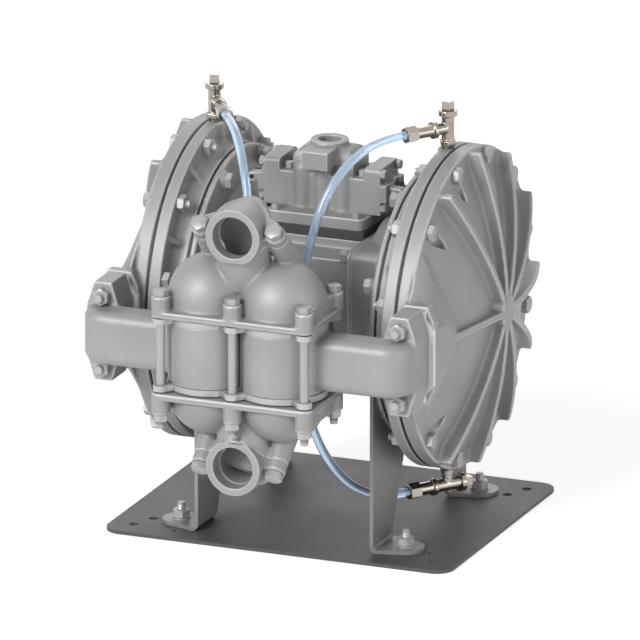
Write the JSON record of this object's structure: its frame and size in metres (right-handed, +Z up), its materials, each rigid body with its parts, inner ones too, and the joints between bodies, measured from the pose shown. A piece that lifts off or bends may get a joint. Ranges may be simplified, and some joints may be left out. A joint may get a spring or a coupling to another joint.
{
  "type": "air operated diaphragm pump",
  "caption": "Air operated double diaphragm pump on a base plate, with side-ported chambers, ball valve columns, threaded ports, an air valve and sight tubes.",
  "frame": {"origin": "centre of the base plate's underside, where it rests on the floor", "axes": "+X along the diaphragm rod to the right chamber, -Y towards the two ports, +Z up"},
  "size_m": [0.4126, 0.4657, 0.478],
  "materials": {
    "cast_metal": "satin warm grey painted casting",
    "base_steel": "satin dark grey paint",
    "leg_steel": "satin grey paint",
    "fastener_steel": "plain steel, satin",
    "nickel_fitting": "bright nickel plate",
    "black_rubber": "matt black",
    "white_ptfe": "matt white",
    "dark_gasket": "matt dark grey",
    "aluminium": "machined",
    "blue_tube": "clear, light blue",
    "bronze": "machined",
    "spool_plastic": "matt black"
  },
  "bodies": {
    "pump": {"base_plate": "base_steel", "body_bolts": "fastener_steel", "cap_screws": "fastener_steel", "center_body": "cast_metal", "chamber_plugs": "fastener_steel", "compression_nuts": "nickel_fitting", "discharge_manifold": "cast_metal", "discharge_port": "cast_metal", "driver_bolts": "fastener_steel", "foot_nuts": "fastener_steel", "foot_studs": "fastener_steel", "left_air_chamber": "cast_metal", "left_containment_chamber": "cast_metal", "left_driver_diaphragm": "black_rubber", "left_leg_bracket": "leg_steel", "left_outer_chamber": "cast_metal", "left_pump_diaphragm": "black_rubber", "left_sight_tube": "blue_tube", "left_valve_cap": "cast_metal", "left_valve_elbow": "cast_metal", "manifold_gaskets": "dark_gasket", "pilot_body": "aluminium", "port_bolts": "fastener_steel", "port_gaskets": "white_ptfe", "right_air_chamber": "cast_metal", "right_containment_chamber": "cast_metal", "right_driver_diaphragm": "black_rubber", "right_leg_bracket": "leg_steel", "right_outer_chamber": "cast_metal", "right_pump_diaphragm": "black_rubber", "right_sight_tube": "blue_tube", "right_valve_cap": "cast_metal", "right_valve_elbow": "cast_metal", "rim_bolts": "fastener_steel", "rim_nuts": "fastener_steel", "rod_bushings": "bronze", "seat_plates": "cast_metal", "side_studs": "fastener_steel", "sight_tees": "nickel_fitting", "suction_manifold": "cast_metal", "suction_port": "cast_metal", "tee_plugs": "nickel_fitting", "tie_bolts": "fastener_steel", "tie_nuts": "fastener_steel", "valve_body": "cast_metal", "valve_bumpers": "spool_plastic", "valve_gasket": "dark_gasket", "valve_screws": "fastener_steel", "valve_seats": "white_ptfe", "valve_sleeve": "aluminium"},
    "rod": {"diaphragm_rod": "fastener_steel", "inner_plates": "cast_metal", "outer_plates": "aluminium"},
    "pilot": {"pilot_spool": "spool_plastic", "pilot_plungers": "fastener_steel"},
    "main_spool": {"valve_spool": "aluminium"},
    "left_suction_ball": {"left_suction_ball": "white_ptfe"},
    "right_suction_ball": {"right_suction_ball": "white_ptfe"},
    "left_discharge_ball": {"left_discharge_ball": "white_ptfe"},
    "right_discharge_ball": {"right_discharge_ball": "white_ptfe"}
  },
  "joints": [
    {"name": "rod_slide", "type": "slide", "parent": "pump", "child": "rod", "axis": [1, 0, 0], "range_m": [-0.016, 0.016], "deforming": ["left_pump_diaphragm", "left_driver_diaphragm", "right_pump_diaphragm", "right_driver_diaphragm"]},
    {"name": "pilot_slide", "type": "slide", "parent": "pump", "child": "pilot", "axis": [1, 0, 0], "range_m": [-0.004, 0.004]},
    {"name": "main_spool_slide", "type": "slide", "parent": "pump", "child": "main_spool", "axis": [1, 0, 0], "range_m": [-0.01, 0.01]},
    {"name": "left_suction_ball_lift", "type": "slide", "parent": "pump", "child": "left_suction_ball", "axis": [0, 0, 1], "range_m": [0, 0.012]},
    {"name": "right_suction_ball_lift", "type": "slide", "parent": "pump", "child": "right_suction_ball", "axis": [0, 0, 1], "range_m": [0, 0.012]},
    {"name": "left_discharge_ball_lift", "type": "slide", "parent": "pump", "child": "left_discharge_ball", "axis": [0, 0, 1], "range_m": [0, 0.012]},
    {"name": "right_discharge_ball_lift", "type": "slide", "parent": "pump", "child": "right_discharge_ball", "axis": [0, 0, 1], "range_m": [0, 0.012]}
  ],
  "couplings": [
    {"joint": "pilot_slide", "follows": "rod_slide", "ratio": 0.25}
  ]
}
